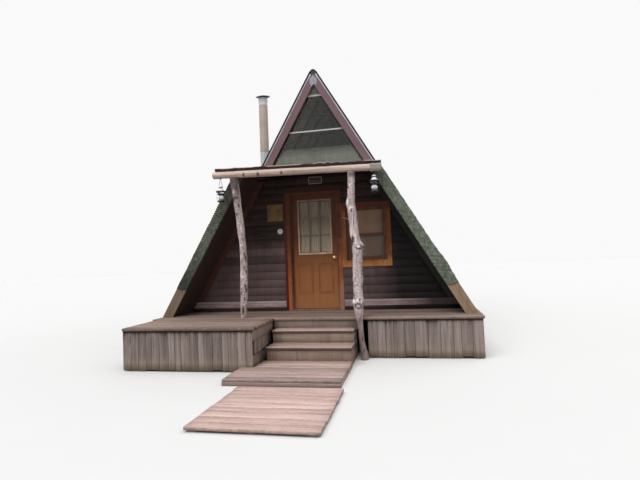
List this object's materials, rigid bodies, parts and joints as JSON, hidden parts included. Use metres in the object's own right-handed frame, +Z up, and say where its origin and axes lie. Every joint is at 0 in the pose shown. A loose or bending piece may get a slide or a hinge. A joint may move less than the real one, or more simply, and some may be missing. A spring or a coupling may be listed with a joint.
{
  "type": "a-frame cabin",
  "caption": "Small timber A-frame cabin: steep green roof, glazed gable, wings beside a porch on crooked log posts, plank deck with steps and boardwalk.",
  "frame": {"origin": "on the ground, under the middle of the whole model", "axes": "+Z up, the door faces -Y, +X to the right as one faces the door"},
  "size_m": [5.2544, 9.099, 5.3743],
  "materials": {
    "floor_wood": "worn",
    "framing_wood": "raw",
    "deck_wood": "weathered",
    "fascia_wood": "weathered",
    "skirt_wood": "weathered",
    "tread_wood": "mossy",
    "step_wood": "mossy",
    "landing_wood": "weathered",
    "walk_wood": "weathered",
    "siding": "old paint",
    "gable_glass": "clear",
    "gable_wood": "old paint",
    "bar_paint": "painted",
    "roofing": "mineral",
    "rafter_wood": "raw",
    "wing_wood": "weathered",
    "wing_roofing": "mineral",
    "rake_wood": "old paint",
    "trim_wood": "weathered",
    "jamb_wood": "stained",
    "casing_wood": "stained",
    "door_wood": "varnished",
    "lite_plastic": "painted",
    "door_glass": "clear",
    "brass": "worn",
    "window_wood": "stained",
    "sash_wood": "stained",
    "window_glass": "clear",
    "shade_cloth": "woven",
    "porch_wood": "weathered",
    "porch_felt": "worn",
    "beam_log": "peeled",
    "post_bark": "peeled",
    "flue_metal": "satin",
    "flashing_metal": "dull",
    "cap_metal": "satin",
    "lantern_metal": "satin",
    "plate_metal": "worn"
  },
  "bodies": {
    "cabin": {"floor": "floor_wood", "floor_joists": "framing_wood", "deck_boards": "deck_wood", "deck_joists": "framing_wood", "deck_fascia": "fascia_wood", "skirt_front_left": "skirt_wood", "skirt_front_right": "skirt_wood", "skirt_left": "skirt_wood", "skirt_right": "skirt_wood", "skirt_back": "skirt_wood", "step_treads": "tread_wood", "step_boxes": "step_wood", "landing": "landing_wood", "boardwalk": "walk_wood", "front_wall_left": "siding", "front_wall_right": "siding", "front_wall_over_door": "siding", "back_wall": "siding", "gable_glass": "gable_glass", "gable_frame": "gable_wood", "gable_bars": "bar_paint", "roof_left": "roofing", "roof_right": "roofing", "rafters": "rafter_wood", "ridge_cap": "roofing", "wing_frames": "wing_wood", "wing_roofing_left": "wing_roofing", "wing_roofing_right": "wing_roofing", "rake_boards": "rake_wood", "wall_trim": "trim_wood", "door_frame": "jamb_wood", "door_casing": "casing_wood", "window_casings": "window_wood", "window_sashes": "sash_wood", "window_glass": "window_glass", "window_shades": "shade_cloth", "porch_roof": "porch_wood", "porch_roofing": "porch_felt", "porch_beam": "beam_log", "post_left": "post_bark", "post_right": "post_bark", "flue_pipe": "flue_metal", "flue_flashing": "flashing_metal", "flue_cap": "cap_metal", "lanterns": "lantern_metal", "wall_plates": "plate_metal"},
    "door": {"door_slab": "door_wood", "door_lite_frame": "lite_plastic", "door_glass": "door_glass", "door_knob": "brass", "door_hinges": "brass"}
  },
  "joints": [
    {"name": "door_hinge", "type": "hinge", "parent": "cabin", "child": "door", "pos_m": [-0.449, -0.3535, 0.638], "axis": [0, 0, 1], "range_deg": [0, 100]}
  ]
}
